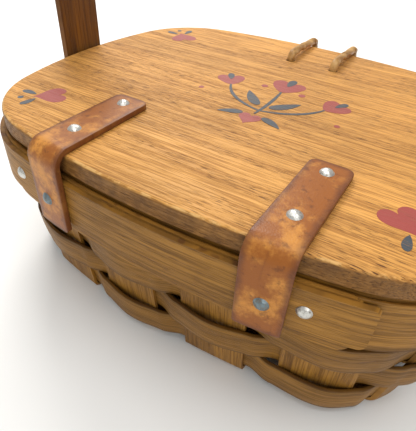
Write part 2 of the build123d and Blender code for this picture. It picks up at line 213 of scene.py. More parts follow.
def mixColor(tree, factor, first, second, blend="MIX"):
    node = tree.nodes.new("ShaderNodeMix")
    node.data_type = "RGBA"
    node.blend_type = blend
    for index, value in ((0, factor), (6, first), (7, second)):  # the sockets that a colour mix uses
        if isinstance(value, (int, float, tuple)):
            node.inputs[index].default_value = value
        else:
            tree.links.new(value, node.inputs[index])
    return node.outputs[2]


def noise(tree, vector, scale, detail, roughness, distortion=0.0):
    # Every noise in the settings below is given in this order: scale, detail, roughness, distortion
    node = tree.nodes.new("ShaderNodeTexNoise")
    tree.links.new(vector, node.inputs["Vector"])
    for label, value in (("Scale", scale), ("Detail", detail), ("Roughness", roughness),
                         ("Distortion", distortion)):
        node.inputs[label].default_value = value
    return node.outputs["Fac"]


def pits(tree, vector, scale):
    node = tree.nodes.new("ShaderNodeTexVoronoi")
    tree.links.new(vector, node.inputs["Vector"])
    node.inputs["Scale"].default_value = scale
    return node.outputs["Distance"]


def ramp(tree, value, stops):
    node = tree.nodes.new("ShaderNodeMapRange")
    node.interpolation_type = "SMOOTHSTEP"
    tree.links.new(value, node.inputs["Value"])
    node.inputs["From Min"].default_value, node.inputs["From Max"].default_value = stops
    return node.outputs["Result"]


def stretched(tree, vector, scale):
    node = tree.nodes.new("ShaderNodeVectorMath")
    node.operation = "MULTIPLY"
    tree.links.new(vector, node.inputs[0])
    if isinstance(scale, tuple):
        node.inputs[1].default_value = scale
    else:
        tree.links.new(scale, node.inputs[1])
    return node.outputs[0]


def alongGrain(tree, vector, across, scales):
    # Slow along the grain, quick on the axes where across is 1
    slow, quick = scales
    node = tree.nodes.new("ShaderNodeVectorMath")
    node.operation = "MULTIPLY_ADD"
    tree.links.new(across, node.inputs[0])
    node.inputs[1].default_value = (quick - slow,) * 3
    node.inputs[2].default_value = (slow,) * 3
    return stretched(tree, vector, node.outputs[0])


def addBump(tree, shader, height, strength, depth):
    bump = tree.nodes.new("ShaderNodeBump")
    bump.inputs["Strength"].default_value = strength
    bump.inputs["Distance"].default_value = depth
    tree.links.new(height, bump.inputs["Height"])
    tree.links.new(bump.outputs["Normal"], shader.inputs["Normal"])


# Wood grain that all the wood shares: figure, fine fibre, pores and slow blotches
# Bands, fibre and fleck each have two scales, along the grain and across it

grainSettings = {"bands": (4.0, 70.0), "bandNoise": (1.0, 4, 0.6, 0.7), "bandStops": (0.36, 0.7),
                 "fibre": (30.0, 1250.0), "fibreNoise": (1.0, 3, 0.6), "fibreStops": (0.43, 0.62),
                 "fleck": (130.0, 2100.0), "fleckNoise": (1.0, 1, 0.4), "fleckStops": (0.58, 0.7),
                 "poreBandStops": (0.4, 0.6), "poreColor": (0.09, 0.03, 0.01, 1),
                 "blotchNoise": (20.0, 2, 0.5), "blotchGain": 0.5, "blotchLeast": 0.76,
                 "roughGain": 0.14, "roughLeast": 0.46, "fibreHeight": -0.35}


def makeWoodGrain():
    s = grainSettings
    inputs = (("Vector", "NodeSocketVector", None), ("Across", "NodeSocketVector", (0, 1, 1)),
              ("Pale", "NodeSocketColor", (0.6, 0.33, 0.14, 1)),
              ("Dark", "NodeSocketColor", (0.3, 0.13, 0.04, 1)), ("Figure", "NodeSocketFloat", 0.5),
              ("Pores", "NodeSocketFloat", 0.5), ("Fibre", "NodeSocketFloat", 0.5))
    outputs = (("Color", "NodeSocketColor"), ("Roughness", "NodeSocketFloat"), ("Height", "NodeSocketFloat"),
               ("Pore Mask", "NodeSocketFloat"))
    group, start, end = newGroup("woodGrain", inputs, outputs)
    vector, across, darkening = start.outputs["Vector"], start.outputs["Across"], start.outputs["Dark"]
    bands = noise(group, alongGrain(group, vector, across, s["bands"]), *s["bandNoise"])
    fibre = noise(group, alongGrain(group, vector, across, s["fibre"]), *s["fibreNoise"])
    fleck = noise(group, alongGrain(group, vector, across, s["fleck"]), *s["fleckNoise"])
    blotch = noise(group, vector, *s["blotchNoise"])
    fibreMask = ramp(group, fibre, s["fibreStops"])
    pores = mathNode(group, "MULTIPLY", ramp(group, fleck, s["fleckStops"]),
                     ramp(group, bands, s["poreBandStops"]))
    pores = mathNode(group, "MULTIPLY", pores, start.outputs["Pores"])
    figure = mathNode(group, "MULTIPLY", ramp(group, bands, s["bandStops"]), start.outputs["Figure"])
    color = mixColor(group, figure, start.outputs["Pale"], darkening)
    color = mixColor(group, mathNode(group, "MULTIPLY", fibreMask, start.outputs["Fibre"]), color, darkening)
    color = mixColor(group, pores, color, s["poreColor"])
    shade = mathNode(group, "MULTIPLY_ADD", blotch, s["blotchGain"], s["blotchLeast"])
    bright = group.nodes.new("ShaderNodeCombineColor")
    for channel in range(3):
        group.links.new(shade, bright.inputs[channel])
    color = mixColor(group, 1.0, color, bright.outputs[0], "MULTIPLY")
    rough = mathNode(group, "MULTIPLY_ADD", fibreMask, s["roughGain"], s["roughLeast"])
    height = mathNode(group, "SUBTRACT", mathNode(group, "MULTIPLY", fibreMask, s["fibreHeight"]), pores)
    for label, value in (("Color", color), ("Roughness", rough), ("Height", height), ("Pore Mask", pores)):
        group.links.new(value, end.inputs[label])
    return group


woodGrain = makeWoodGrain()

# Hide that all the leather shares: rubbed clouds, dark spots, creases and pebbled skin

hideSettings = {"cloudNoise": (48.0, 6, 0.68), "cloudStops": (0.46, 0.66), "spotNoise": (210.0, 3, 0.6),
                "spotStops": (0.55, 0.72), "spotStrength": 0.5, "pebble": 950.0, "pebbleHeight": 0.5,
                "crease": (420.0, 60.0, 60.0), "creaseNoise": (1.0, 3, 0.55, 0.5),
                "creaseStops": (0.6, 0.72), "creaseStrength": 0.15, "roughGain": 0.3, "roughLeast": 0.24}


def makeLeatherHide():
    s = hideSettings
    inputs = (("Vector", "NodeSocketVector", None), ("Base", "NodeSocketColor", (0.4, 0.14, 0.05, 1)),
              ("Dark", "NodeSocketColor", (0.1, 0.03, 0.015, 1)),
              ("Rubbed", "NodeSocketColor", (0.6, 0.27, 0.1, 1)), ("Wear", "NodeSocketFloat", 0.5))
    outputs = (("Color", "NodeSocketColor"), ("Roughness", "NodeSocketFloat"), ("Height", "NodeSocketFloat"))
    group, start, end = newGroup("leatherHide", inputs, outputs)
    vector = start.outputs["Vector"]
    cloud = noise(group, vector, *s["cloudNoise"])
    spots = noise(group, vector, *s["spotNoise"])
    pebble = pits(group, vector, s["pebble"])
    crease = noise(group, stretched(group, vector, s["crease"]), *s["creaseNoise"])
    rubbed = mathNode(group, "MULTIPLY", ramp(group, cloud, s["cloudStops"]), start.outputs["Wear"])
    color = mixColor(group, rubbed, start.outputs["Base"], start.outputs["Rubbed"])
    dark = mathNode(group, "MULTIPLY", ramp(group, spots, s["spotStops"]), s["spotStrength"])
    color = mixColor(group, dark, color, start.outputs["Dark"])
    lines = mathNode(group, "MULTIPLY", ramp(group, crease, s["creaseStops"]), s["creaseStrength"])
    color = mixColor(group, lines, color, start.outputs["Dark"])
    rough = mathNode(group, "MULTIPLY_ADD", cloud, s["roughGain"], s["roughLeast"])
    height = mathNode(group, "SUBTRACT", mathNode(group, "MULTIPLY", pebble, s["pebbleHeight"]), lines)
    for label, value in (("Color", color), ("Roughness", rough), ("Height", height)):
        group.links.new(value, end.inputs[label])
    return group


leatherHide = makeLeatherHide()
finishes = {}


def startMaterial(name, groupTree, values, bump, fixed):
    material = bpy.data.materials.new(name)
    material.use_nodes = True
    tree = material.node_tree
    shader = tree.nodes["Principled BSDF"]
    for label, value in fixed.items():
        shader.inputs[label].default_value = value
    place = tree.nodes.new("ShaderNodeTexCoord")
    finish = tree.nodes.new("ShaderNodeGroup")
    finish.node_tree = groupTree
    tree.links.new(place.outputs["Object"], finish.inputs["Vector"])
    for label, value in values.items():
        finish.inputs[label].default_value = value
    addBump(tree, shader, finish.outputs["Height"], *bump)
    tree.links.new(finish.outputs["Roughness"], shader.inputs["Roughness"])
    tree.links.new(finish.outputs["Color"], shader.inputs["Base Color"])
    finishes[name] = material
    return tree, shader, finish


def openFinish(name):
    # The tree and shader of a finish that is made, and the colour that it has so far
    tree = finishes[name].node_tree
    shader = tree.nodes["Principled BSDF"]
    return tree, shader, shader.inputs["Base Color"].links[0].from_socket


# Wood finishes; Across is 1 on each axis that crosses the grain

woodBump = (0.7, 0.0004)
woodCoat = {"Coat Weight": 0.03, "Coat Roughness": 0.4, "Specular IOR Level": 0.25}
grainAlongX, grainAlongWall = (0, 1, 1), (0, 0, 1)
stakeStain = {"Pale": (0.36, 0.168, 0.025, 1), "Dark": (0.085, 0.033, 0.006, 1),
              "Figure": 0.55, "Pores": 0.6, "Fibre": 0.5}
woodFinishes = {
    "oakLid": {"Across": grainAlongX, "Pale": (0.72, 0.355, 0.085, 1), "Dark": (0.3, 0.118, 0.021, 1),
               "Figure": 0.4, "Pores": 1.0, "Fibre": 0.72},
    "weaverSplint": {"Across": grainAlongWall, "Pale": (0.3, 0.138, 0.017, 1),
                     "Dark": (0.06, 0.023, 0.004, 1), "Figure": 0.55, "Pores": 0.6, "Fibre": 0.5},
    "crossSplint": {"Across": (1, 0, 0), **stakeStain},
    "longSplint": {"Across": (0, 1, 0), **stakeStain},
    "hoopAsh": {"Across": grainAlongWall, "Pale": (0.39, 0.182, 0.027, 1), "Dark": (0.075, 0.03, 0.005, 1),
                "Figure": 0.55, "Pores": 0.65, "Fibre": 0.5},
    "bentHandle": {"Across": (0, 1, 0), "Pale": (0.215, 0.082, 0.009, 1), "Dark": (0.065, 0.021, 0.003, 1),
                   "Figure": 0.65, "Pores": 0.6, "Fibre": 0.6},
    "turnedPeg": {"Across": grainAlongX, "Pale": (0.27, 0.11, 0.02, 1), "Dark": (0.1, 0.038, 0.007, 1),
                  "Figure": 0.5, "Pores": 0.3},
}
for name, values in woodFinishes.items():
    startMaterial(name, woodGrain, values, woodBump, woodCoat)

# The lid's side faces are painted darker than its top, by the normal's height; patchy noise varies it, and a
# pale rub marks the upper corner
lidEdgeSettings = {"sideStops": (0.8, 0.25), "patchNoise": (130.0, 4, 0.65), "leastPatch": 0.35,
                   "strength": 0.9, "darkening": (0.115, 0.05, 0.014, 1), "cornerStarts": (0.985, 0.88),
                   "cornerEnds": (0.45, 0.7), "rubStops": (0.44, 0.62), "rubStrength": 0.75,
                   "rubbed": (0.78, 0.47, 0.17, 1)}


def darkenLidEdge():
    # The sawn edge is painted darker than the top, going by which way each face points; its upper corner is
    # rubbed pale in places
    s = lidEdgeSettings
    tree, shader, wood = openFinish("oakLid")
    place = tree.nodes.new("ShaderNodeTexCoord")
    upright = tree.nodes.new("ShaderNodeSeparateXYZ")
    tree.links.new(place.outputs["Normal"], upright.inputs[0])
    side = ramp(tree, mathNode(tree, "ABSOLUTE", upright.outputs["Z"]), s["sideStops"])
    patches = noise(tree, place.outputs["Object"], *s["patchNoise"])
    edge = mathNode(tree, "MULTIPLY", side, mathNode(tree, "ADD", patches, s["leastPatch"]), clamp=True)
    color = mixColor(tree, mathNode(tree, "MULTIPLY", edge, s["strength"]), wood, s["darkening"])
    corner = mathNode(tree, "MULTIPLY", ramp(tree, upright.outputs["Z"], s["cornerStarts"]),
                      ramp(tree, upright.outputs["Z"], s["cornerEnds"]))
    rubbed = mathNode(tree, "MULTIPLY", corner, ramp(tree, patches, s["rubStops"]))
    color = mixColor(tree, mathNode(tree, "MULTIPLY", rubbed, s["rubStrength"]), color, s["rubbed"])
    tree.links.new(color, shader.inputs["Base Color"])


darkenLidEdge()

# Leather finishes

leatherBump = (0.7, 0.0002)
leatherCoat = {"Coat Weight": 0.05, "Coat Roughness": 0.4, "Specular IOR Level": 0.3}
leatherFinishes = {
    "harnessLeather": {"Base": (0.31, 0.095, 0.012, 1), "Dark": (0.08, 0.02, 0.006, 1),
                       "Rubbed": (0.64, 0.27, 0.045, 1), "Wear": 0.9},
    "washerLeather": {"Base": (0.13, 0.045, 0.018, 1), "Dark": (0.04, 0.015, 0.008, 1),
                      "Rubbed": (0.25, 0.1, 0.04, 1), "Wear": 0.5},
    "laceLeather": {"Base": (0.34, 0.17, 0.045, 1), "Dark": (0.1, 0.042, 0.012, 1),
                    "Rubbed": (0.58, 0.34, 0.12, 1), "Wear": 0.9},
}
for name, values in leatherFinishes.items():
    startMaterial(name, leatherHide, values, leatherBump, leatherCoat)

strapEdgeSettings = {"wanderNoise": (90.0, 3, 0.6), "wanderShare": 0.2, "sideStops": (0.42, 0.6),
                     "endStops": (0.465, 0.5), "strength": 0.72, "burnish": (0.11, 0.032, 0.013, 1)}


def burnishStrapEdges():
    # Darker, redder rims along the cut edges, from the strap's own map
    s = strapEdgeSettings
    tree, shader, hide = openFinish("harnessLeather")
    place = tree.nodes.new("ShaderNodeTexCoord")
    strapMap = tree.nodes.new("ShaderNodeSeparateXYZ")
    tree.links.new(place.outputs["UV"], strapMap.inputs[0])
    wander = mathNode(tree, "MULTIPLY", noise(tree, place.outputs["Object"], *s["wanderNoise"]),
                      s["wanderShare"])
    offSide = mathNode(tree, "ABSOLUTE", mathNode(tree, "SUBTRACT", strapMap.outputs["X"], 0.5))
    offEnd = mathNode(tree, "ABSOLUTE", mathNode(tree, "SUBTRACT", strapMap.outputs["Y"], 0.5))
    rim = mathNode(tree, "MAXIMUM", ramp(tree, mathNode(tree, "ADD", offSide, wander), s["sideStops"]),
                   ramp(tree, offEnd, s["endStops"]))
    color = mixColor(tree, mathNode(tree, "MULTIPLY", rim, s["strength"]), hide, s["burnish"])
    tree.links.new(color, shader.inputs["Base Color"])


burnishStrapEdges()

# Rivet steel: worn bright heads, and a duller pair at the straps' feet

steelSettings = {"stainNoise": (520.0, 4, 0.65), "scratch": (2600.0, 500.0, 900.0),
                 "scratchNoise": (1.0, 2, 0.5), "scratchHeight": 0.3, "hammered": 480.0,
                 "tarnish": (0.2, 0.18, 0.15, 1), "tarnishDulls": 0.35, "roughGain": 0.5,
                 "roughLeast": 0.16, "bump": (0.5, 0.0005)}
steelFinishes = {"wornSteel": {"bright": (0.66, 0.65, 0.61, 1), "stainStops": (0.52, 0.7)},
                 "dullSteel": {"bright": (0.2, 0.25, 0.27, 1), "stainStops": (0.45, 0.65)}}


def makeSteel(name, bright, stainStops):
    s = steelSettings
    material = bpy.data.materials.new(name)
    material.use_nodes = True
    tree = material.node_tree
    shader = tree.nodes["Principled BSDF"]
    place = tree.nodes.new("ShaderNodeTexCoord").outputs["Object"]
    darkening = noise(tree, place, *s["stainNoise"])
    scratch = noise(tree, stretched(tree, place, s["scratch"]), *s["scratchNoise"])
    stained = ramp(tree, darkening, stainStops)
    color = mixColor(tree, stained, bright, s["tarnish"])
    metallic = mathNode(tree, "SUBTRACT", 1.0, mathNode(tree, "MULTIPLY", stained, s["tarnishDulls"]))
    rough = mathNode(tree, "MULTIPLY_ADD", darkening, s["roughGain"], s["roughLeast"])
    height = mathNode(tree, "ADD", mathNode(tree, "MULTIPLY", scratch, s["scratchHeight"]),
                      pits(tree, place, s["hammered"]))
    for label, value in (("Base Color", color), ("Metallic", metallic), ("Roughness", rough)):
        tree.links.new(value, shader.inputs[label])
    addBump(tree, shader, height, *s["bump"])
    finishes[name] = material


for name, values in steelFinishes.items():
    makeSteel(name, **values)

# Craft paint for the ornament; the oak's pores and fibre show through it

paintBump = (0.7, 0.0002)
paintCoat = {"Coat Weight": 0.2, "Coat Roughness": 0.3}
brushSettings = {"stroke": (60.0, 260.0, 60.0), "strokeNoise": (1.0, 3, 0.6), "strokeStrength": 0.5,
                 "poresShow": 0.75}
paintFinishes = {"redPaint": {"paint": (0.36, 0.05, 0.035, 1), "worn": (0.25, 0.035, 0.03, 1)},
                 "bluePaint": {"paint": (0.05, 0.062, 0.075, 1), "worn": (0.025, 0.032, 0.045, 1)}}


def makePaint(name, paint, worn):
    s = brushSettings
    tree, shader, wood = startMaterial(name, woodGrain, woodFinishes["oakLid"], paintBump, paintCoat)
    place = tree.nodes.new("ShaderNodeTexCoord").outputs["Object"]
    stroke = noise(tree, stretched(tree, place, s["stroke"]), *s["strokeNoise"])
    color = mixColor(tree, mathNode(tree, "MULTIPLY", stroke, s["strokeStrength"]), paint, worn)
    through = mathNode(tree, "MULTIPLY", wood.outputs["Pore Mask"], s["poresShow"])
    color = mixColor(tree, through, color, wood.outputs["Color"])
    tree.links.new(color, shader.inputs["Base Color"])


for name, values in paintFinishes.items():
    makePaint(name, **values)
print("finishes made:", len(finishes))

# Finishes of the CAD nodes that keep their shape, and of the weaver rows until they are replaced

nodeFinishes = {"lid": "oakLid", "top_row": "weaverSplint", "rim_hoop": "hoopAsh", "inner_hoop": "hoopAsh",
                "hinge_backing": "hoopAsh", "hinge_band": "hoopAsh", "handle": "bentHandle",
                "closure_peg": "turnedPeg", "lid_rivets": "wornSteel", "strap_rivets": "dullSteel",
                "band_rivets": "wornSteel", "handle_rivets": "wornSteel", "handle_washers": "washerLeather"}
splintFinishes = {"cross_stake": "crossSplint", "long_stake": "longSplint", "weaver_row": "weaverSplint"}
for label in nodes:
    for kind, finish in splintFinishes.items():
        if label.startswith(kind):
            nodeFinishes[label] = finish
for label, finish in nodeFinishes.items():
    data = nodes[label].data
    if not data.materials:
        data.materials.append(finishes[finish])
    for index in range(len(data.materials)):
        data.materials[index] = finishes[finish]

# Helpers for pieces that are modelled here, with angles in degrees

smoothUnder = 38
sheetSharpOver = 50


def applyModifier(piece, kind, **settings):
    bpy.context.view_layer.objects.active = piece
    modifier = piece.modifiers.new(kind.lower(), kind)
    for label, value in settings.items():
        setattr(modifier, label, value)
    bpy.ops.object.modifier_apply(modifier=modifier.name)


def thickenSheet(piece, thickness, edgeBevel, segments):
    # A sheet gets its thickness, half to each side, and soft edges
    applyModifier(piece, "SOLIDIFY", thickness=thickness * mm, offset=0)
    applyModifier(piece, "BEVEL", width=edgeBevel * mm, segments=segments, limit_method="ANGLE",
                  angle_limit=math.radians(sheetSharpOver))


def settle(piece, finish, body=None):
    # Place into the mesh, faces outwards, smooth where it is round
    bpy.context.view_layer.objects.active = piece
    piece.select_set(True)
    bpy.ops.object.transform_apply(location=True, rotation=True, scale=True)
    bpy.ops.object.mode_set(mode="EDIT")
    bpy.ops.mesh.select_all(action="SELECT")
    bpy.ops.mesh.normals_make_consistent(inside=False)
    bpy.ops.object.mode_set(mode="OBJECT")
    bpy.ops.object.shade_smooth_by_angle(angle=math.radians(smoothUnder))
    piece.data.materials.clear()
    piece.data.materials.append(finishes[finish])
    if body:
        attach(piece, body)
    clearSelection()


def joinAll(parts, name):
    clearSelection()
    for part in parts:
        part.select_set(True)
    bpy.context.view_layer.objects.active = parts[0]
    bpy.ops.object.transform_apply(location=True, rotation=True, scale=True)
    bpy.ops.object.join()
    parts[0].name = name
    return parts[0]


# Weaver rows: closed splints, over one stake and under the next

weaverSettings = {"rows": 3, "steps": 560, "thickness": 2.35, "width": 22.6, "firstHeight": 6.5,
                  "pitch": 23.4, "middle": -5.7, "taper": 9.0, "uprightFrom": 76.6, "reach": 2.45,
                  "swell": 3.2, "swellPower": 1.3, "margin": 3.0, "edgeBevel": 0.5, "crown": 0.35,
                  "startRadius": 150.0,
                  "sways": ((0.16, 37, 2.1), (0.1, 83, 1))}  # each sway: height, waves round, shift by row
crossStakes = {"places": (-102.5, -38.5, 25.5, 89.5), "width": 42.0}
longStakes = {"places": (-82.0, -41.0, 0.0, 41.0, 82.0), "width": 24.0}
# Painted shade in the crevices where weaver rows meet: how its band wanders, where it sits, and its dark
# colour
splintEdgeShadeSettings = {"wanderNoise": (60.0, 3, 0.6), "wanderHeight": 1.2, "lift": 0.6,
                      "middleShare": 0.483, "stops": (0.38, 0.49), "strength": 0.6,
                      "darkening": (0.045, 0.017, 0.004, 1)}


def shadeSplintEdges():
    # Painted shade along both edges of each weaver, row by row, where the rows meet
    s = splintEdgeShadeSettings
    tree, shader, wood = openFinish("weaverSplint")
    place = tree.nodes.new("ShaderNodeTexCoord").outputs["Object"]
    split = tree.nodes.new("ShaderNodeSeparateXYZ")
    tree.links.new(place, split.inputs[0])
    wander = mathNode(tree, "MULTIPLY", noise(tree, place, *s["wanderNoise"]), s["wanderHeight"] * mm)
    height = mathNode(tree, "SUBTRACT", mathNode(tree, "ADD", split.outputs["Z"], wander),
                      (weaverSettings["firstHeight"] + s["lift"]) * mm)
    share = mathNode(tree, "FRACT", mathNode(tree, "DIVIDE", height, weaverSettings["pitch"] * mm))
    off = mathNode(tree, "ABSOLUTE", mathNode(tree, "SUBTRACT", share, s["middleShare"]))
    edge = mathNode(tree, "MULTIPLY", ramp(tree, off, s["stops"]), s["strength"])
    tree.links.new(mixColor(tree, edge, wood, s["darkening"]), shader.inputs["Base Color"])


def stakeSpans(standOff):
    # From where to where each stake stands along the wall, with a margin at both sides
    margin = weaverSettings["margin"]
    marks = [(distance, wallPoint(distance, standOff)) for distance in range(math.ceil(planLength))]
    spans = []
    for along, out, farOut, stakes in ((0, 1, lidPlan["depth"] / 4, crossStakes),
                                       (1, 0, lidPlan["length"] / 4, longStakes)):
        for side in (-1, 1):
            for place in stakes["places"]:
                on = [distance for distance, point in marks if point[out] * side > farOut
                      and abs(point[along] - place) <= stakes["width"] / 2]
                spans.append((min(on) - margin, max(on) + margin))
    return sorted(spans)


def weaveLevel(distance, spans):
    # Two values: 1 outside a stake and -1 inside it, eased between two stakes, then the share of swell
    laps = spans + [(spans[0][0] + planLength, spans[0][1] + planLength)]
    place = distance if distance >= laps[0][0] else distance + planLength
    for number, (now, following) in enumerate(zip(laps, laps[1:])):
        if now[0] <= place <= following[0]:
            level = 1 if number % 2 == 0 else -1
            if place <= now[1]:
                along = (place - now[0]) / (now[1] - now[0])
                return level, math.sin(math.pi * along) ** weaverSettings["swellPower"]
            return level * math.cos(math.pi * (place - now[1]) / (following[0] - now[1])), 0.0
    return 1.0, 0.0


def weaverEdges(bottom):
    # How far the weave's middle stands off at the row's lower and upper edge, and the stakes there
    s = weaverSettings
    edges = []
    for height in (bottom, bottom + s["width"]):
        middle = s["middle"] - s["taper"] * (1 - height / s["uprightFrom"])
        edges.append((middle, stakeSpans(middle)))
    return edges


def addWeaver(row):
    s = weaverSettings
    bpy.ops.mesh.primitive_cylinder_add(vertices=s["steps"], radius=s["startRadius"] * mm,
                                        depth=s["width"] * mm, end_fill_type="NOTHING", location=(0, 0, 0))
    piece = bpy.context.object
    piece.name = f"weaverRow{row + 1}"
    bpy.ops.object.mode_set(mode="EDIT")
    bpy.ops.mesh.select_all(action="SELECT")
    bpy.ops.mesh.subdivide(number_cuts=1)
    bpy.ops.mesh.subdivide(number_cuts=1)
    bpy.ops.object.mode_set(mode="OBJECT")
    turnAbout = -1 if row % 2 == 0 else 1
    bottom = s["firstHeight"] + row * s["pitch"]
    edges = weaverEdges(bottom)
    for vertex in piece.data.vertices:
        around = math.atan2(vertex.co.y, vertex.co.x) % (2 * math.pi) / (2 * math.pi)
        share = vertex.co.z / (s["width"] * mm) + 0.5
        distance = around * planLength
        reaches = []
        for middle, spans in edges:
            level, swell = weaveLevel(distance, spans)
            level *= turnAbout
            reaches.append(middle + level * s["reach"] + (s["swell"] * swell if level > 0 else 0))
        standOff = reaches[0] * (1 - share) + reaches[1] * share - s["crown"] * (2 * share - 1) ** 2
        x, y = wallPoint(distance, standOff)
        sway = sum(size * math.sin(around * waves + row * shift) for size, waves, shift in s["sways"])
        vertex.co = Vector((x, y, bottom + share * s["width"] + sway)) * mm
    thickenSheet(piece, s["thickness"], s["edgeBevel"], 2)
    settle(piece, "weaverSplint", "basket")
    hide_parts(f"weaver_row_{row + 1}")


shadeSplintEdges()
for row in range(weaverSettings["rows"]):
    addWeaver(row)
print("weavers made")

# Leather hinge straps: along the lid, over its back edge and down the band

strapSettings = {"width": 25.4, "thickness": 3.7, "level": 132.1, "end": 59.7, "standOff": 6.7,
                 "bendRadius": 9.0, "drop": 79.0, "stillBelow": 108.0, "turnsAbove": 122.0, "corner": 5.0,
                 "footCorner": 1.5, "cup": 0.25, "cupRun": 12.0, "lengthSteps": 110, "widthSteps": 14,
                 "edgeBevel": 1.0}
straps = {"rightStrap": {"place": -69.8, "node": "right_strap"},
          "leftStrap": {"place": 69.8, "node": "left_strap"}}


def edgePlace(x, standOff):
    # How far back the hinge side's arc is at x, stood off from it
    _, cy, radius, _, _ = arcs[0]
    return cy + math.sqrt((radius + standOff) ** 2 - x ** 2)


def strapPoint(place, across, share):
    # From the strap's own flat map to its bent shape: across runs from -1 to 1, share from 0 to 1
    s = strapSettings
    top, turn = s["level"] - s["bendRadius"], s["bendRadius"] * math.pi / 2
    flat = edgePlace(place, s["standOff"]) - s["bendRadius"] - s["end"]
    whole = flat + turn + top - s["drop"]
    run = share * whole
    corner, nearEnd = (s["corner"], run) if share < 0.5 else (s["footCorner"], whole - run)
    trim = corner - math.sqrt(max(0.0, corner ** 2 - max(0.0, corner - nearEnd) ** 2))
    x = place + across * (s["width"] / 2 - trim)
    far = edgePlace(x, s["standOff"])
    cup = s["cup"] * (1 - across ** 2)
    if run <= flat:
        stretch = (far - s["bendRadius"] - s["end"]) / flat
        return x, s["end"] + run * stretch, s["level"] + cup * min(1, run / s["cupRun"])
    if run <= flat + turn:
        angle = (run - flat) / s["bendRadius"]
        reach = s["bendRadius"] + cup
        return x, far - s["bendRadius"] + reach * math.sin(angle), top + reach * math.cos(angle)
    return x, far + cup, top - (run - flat - turn)


def addStrap(name, place, node):
    s = strapSettings
    bpy.ops.mesh.primitive_grid_add(x_subdivisions=s["widthSteps"], y_subdivisions=s["lengthSteps"], size=1)
    piece = bpy.context.object
    piece.name = name
    for vertex in piece.data.vertices:
        vertex.co = Vector(strapPoint(place, 2 * vertex.co.x, vertex.co.y + 0.5)) * mm
    thickenSheet(piece, s["thickness"], s["edgeBevel"], 3)
    settle(piece, "harnessLeather")
    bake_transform(piece)
    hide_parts(node)


for name, settings in straps.items():
    addStrap(name, **settings)
print("straps made")

# Laces through the lid, and the closure loop that hangs between them

strandSettings = {"sides": 16, "squareness": 0.7, "lumps": 0.05, "lumpTurn": 0.9, "step": 1.2,
                  "cornerSteps": 8, "cornerShare": 0.49}
laceSettings = {"spacing": 38.0, "width": 6.2, "thickness": 4.7, "twist": 0.16, "archY": -112.0,
                "archZ": 135.4, "shoulderY": -139.0, "shoulderZ": 133.6, "holeY": -87.4, "bottom": 111.0,
                "rise": 135.6, "over": 132.1, "frontY": -147.0, "end": 126.1, "bend": 6.0}
knotSettings = {"radius": 5.9, "ringShare": 0.52, "cordShare": 0.4, "height": 1.25, "ringSteps": 32,
                "cordSteps": 12}
loopSettings = {"leg": 12.4, "width": 5.8, "thickness": 3.6, "top": 124.0, "bottom": 76.0, "steps": 24,
                "knuckleEnd": 22.0, "knuckleSides": 24, "knuckleBevel": 0.5}


def roundedPath(points, bend):
    # Straight runs with round corners, as points about a step apart
    s = strandSettings
    path = [Vector(points[0])]
    for before, corner, after in zip(points, points[1:], points[2:]):
        a, b, c = Vector(before), Vector(corner), Vector(after)
        back, ahead = (a - b).normalized(), (c - b).normalized()
        cut = min(bend / math.tan(back.angle(ahead) / 2), (a - b).length * s["cornerShare"],
                  (c - b).length * s["cornerShare"])
        p, q = b + back * cut, b + ahead * cut
        for number in range(s["cornerSteps"] + 1):
            t = number / s["cornerSteps"]
            path.append(p * (1 - t) ** 2 + b * 2 * t * (1 - t) + q * t ** 2)
    path.append(Vector(points[-1]))
    fine = [path[0]]
    for p, q in zip(path, path[1:]):
        pieces = max(1, round((q - p).length / s["step"]))
        fine += [p.lerp(q, k / pieces) for k in range(1, pieces + 1)]
    return fine


def strandRing(point, across, normal, width, thickness):
    # One section of the strand, between an oval and a rectangle
    power, ring = strandSettings["squareness"], []
    for number in range(strandSettings["sides"]):
        angle = 2 * math.pi * number / strandSettings["sides"]
        c, t = math.cos(angle), math.sin(angle)
        w = width / 2 * math.copysign(abs(c) ** power, c)
        h = thickness / 2 * math.copysign(abs(t) ** power, t)
        ring.append((point + across * w + normal * h) * mm)
    return ring


def addStrand(name, path, width, thickness, side, twist):
    # A closed tube along the path, which twists and swells a little as it goes
    s = strandSettings
    mesh = bmesh.new()
    rings = []
    for index, point in enumerate(path):
        ahead = path[min(index + 1, len(path) - 1)] - path[max(index - 1, 0)]
        across = Vector(side).normalized()
        normal = ahead.normalized().cross(across)
        c, t = math.cos(index * twist), math.sin(index * twist)
        across, normal = across * c + normal * t, normal * c - across * t
        lump = 1 + s["lumps"] * math.sin(index * s["lumpTurn"])
        ring = strandRing(point, across, normal, width, thickness * lump)
        rings.append([mesh.verts.new(place) for place in ring])
    for low, high in zip(rings, rings[1:]):
        for k in range(s["sides"]):
            following = (k + 1) % s["sides"]
            mesh.faces.new((low[k], low[following], high[following], high[k]))
    mesh.faces.new(rings[0])
    mesh.faces.new(rings[-1])
    data = bpy.data.meshes.new(name)
    mesh.to_mesh(data)
    mesh.free()
    strand = bpy.data.objects.new(name, data)
    bpy.context.collection.objects.link(strand)
    return strand


def addKnot(place):
    s = knotSettings
    bpy.ops.mesh.primitive_torus_add(major_segments=s["ringSteps"], minor_segments=s["cordSteps"],
                                     major_radius=s["radius"] * s["ringShare"] * mm,
                                     minor_radius=s["radius"] * s["cordShare"] * mm,
                                     location=[p * mm for p in place])
    knot = bpy.context.object
    bpy.ops.transform.resize(value=(1, 1, s["height"]))
    return knot


def addLace(name, side, node):
    s = laceSettings
    x = side * s["spacing"] / 2
    places = [(x, s["holeY"], s["bottom"]), (x, s["holeY"], s["rise"]), (x, s["archY"], s["archZ"]),
              (x, s["shoulderY"], s["shoulderZ"]), (x, s["frontY"], s["over"]), (x, s["frontY"], s["end"])]
    route = roundedPath(places, s["bend"])
    print(name, "is", round(sum((b - a).length for a, b in zip(route, route[1:])), 1), "mm along")
    strand = addStrand(name, route, s["width"], s["thickness"], (1, 0, 0), s["twist"])
    lace = joinAll([strand, addKnot(places[0])], name)
    settle(lace, "laceLeather", "lid")
    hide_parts(node)


